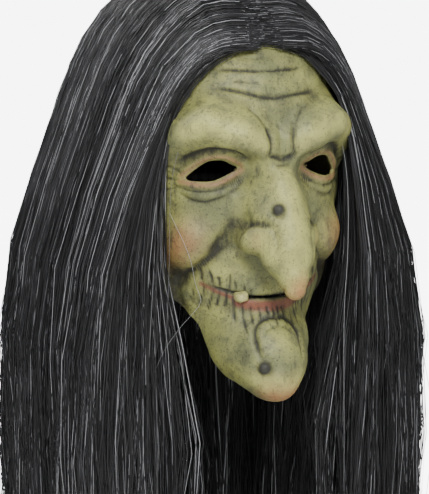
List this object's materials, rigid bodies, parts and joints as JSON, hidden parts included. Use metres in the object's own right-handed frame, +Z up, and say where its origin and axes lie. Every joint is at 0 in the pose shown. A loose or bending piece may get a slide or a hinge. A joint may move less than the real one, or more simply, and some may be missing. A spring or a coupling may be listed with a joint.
{
  "type": "latex halloween mask",
  "caption": "Hag face mask moulded in latex, with long straight hair sewn to a cloth cap, and an elastic strap behind the head.",
  "frame": {"origin": "middle of the wearer's head, at the level of the eye holes' middles", "axes": "+Z up; the face looks along -Y; +X is to the wearer's left; the mask's own plane of symmetry is X = 0"},
  "size_m": [0.2556, 0.2794, 0.5041],
  "materials": {
    "latex": "matte painted latex",
    "tooth": "satin painted latex",
    "cap": "stretch cloth",
    "parting": "matte skin-coloured strip",
    "tape": "woven tape",
    "hair": "straight synthetic fibre, black with grey strands",
    "elastic": "knitted elastic",
    "slider": "moulded",
    "metal": "nickel plated"
  },
  "bodies": {
    "mask": {"face_skin": "latex", "tooth": "tooth", "cap_panel_left": "cap", "cap_panel_right": "cap", "parting_strip": "parting", "nape_binding": "tape", "weft_tape_left_2": "tape", "weft_tape_left_3": "tape", "weft_tape_right_2": "tape", "weft_tape_right_3": "tape", "weft_tape_back_1": "tape", "weft_tape_back_2": "tape", "weft_tape_back_3": "tape", "hair_left_1": "hair", "hair_left_2": "hair", "hair_left_3": "hair", "hair_right_1": "hair", "hair_right_2": "hair", "hair_right_3": "hair", "hair_back_1": "hair", "hair_back_2": "hair", "hair_back_3": "hair", "strap_tab_left": "latex", "strap_tab_right": "latex", "strap_left": "elastic", "strap_right": "elastic", "strap_ring": "metal", "rivet_left_front": "metal", "rivet_left_rear": "metal", "rivet_right_front": "metal", "rivet_right_rear": "metal"},
    "front_lock_left": {"lock_front_left": "hair"},
    "front_lock_right": {"lock_front_right": "hair"},
    "side_lock_left": {"lock_side_left": "hair"},
    "side_lock_right": {"lock_side_right": "hair"},
    "back_lock": {"lock_back": "hair"},
    "slider": {"strap_slider": "slider"}
  },
  "joints": [
    {"name": "front_lock_left_swing", "type": "hinge", "parent": "mask", "child": "front_lock_left", "pos_m": [0.07, -0.044, -0.0128], "axis": [0, -1, 0], "range_deg": [0, 25]},
    {"name": "front_lock_right_swing", "type": "hinge", "parent": "mask", "child": "front_lock_right", "pos_m": [-0.07, -0.044, -0.0128], "axis": [0, 1, 0], "range_deg": [0, 25]},
    {"name": "side_lock_left_swing", "type": "hinge", "parent": "mask", "child": "side_lock_left", "pos_m": [0.086, 0.009, -0.0128], "axis": [0, -1, 0], "range_deg": [0, 25]},
    {"name": "side_lock_right_swing", "type": "hinge", "parent": "mask", "child": "side_lock_right", "pos_m": [-0.086, 0.009, -0.0128], "axis": [0, 1, 0], "range_deg": [0, 25]},
    {"name": "back_lock_swing", "type": "hinge", "parent": "mask", "child": "back_lock", "pos_m": [0, 0.084, -0.0128], "axis": [1, 0, 0], "range_deg": [0, 25]},
    {"name": "slider_slide", "type": "slide", "parent": "mask", "child": "slider", "axis": [1, 0, 0], "range_m": [-0.01, 0.012]}
  ]
}
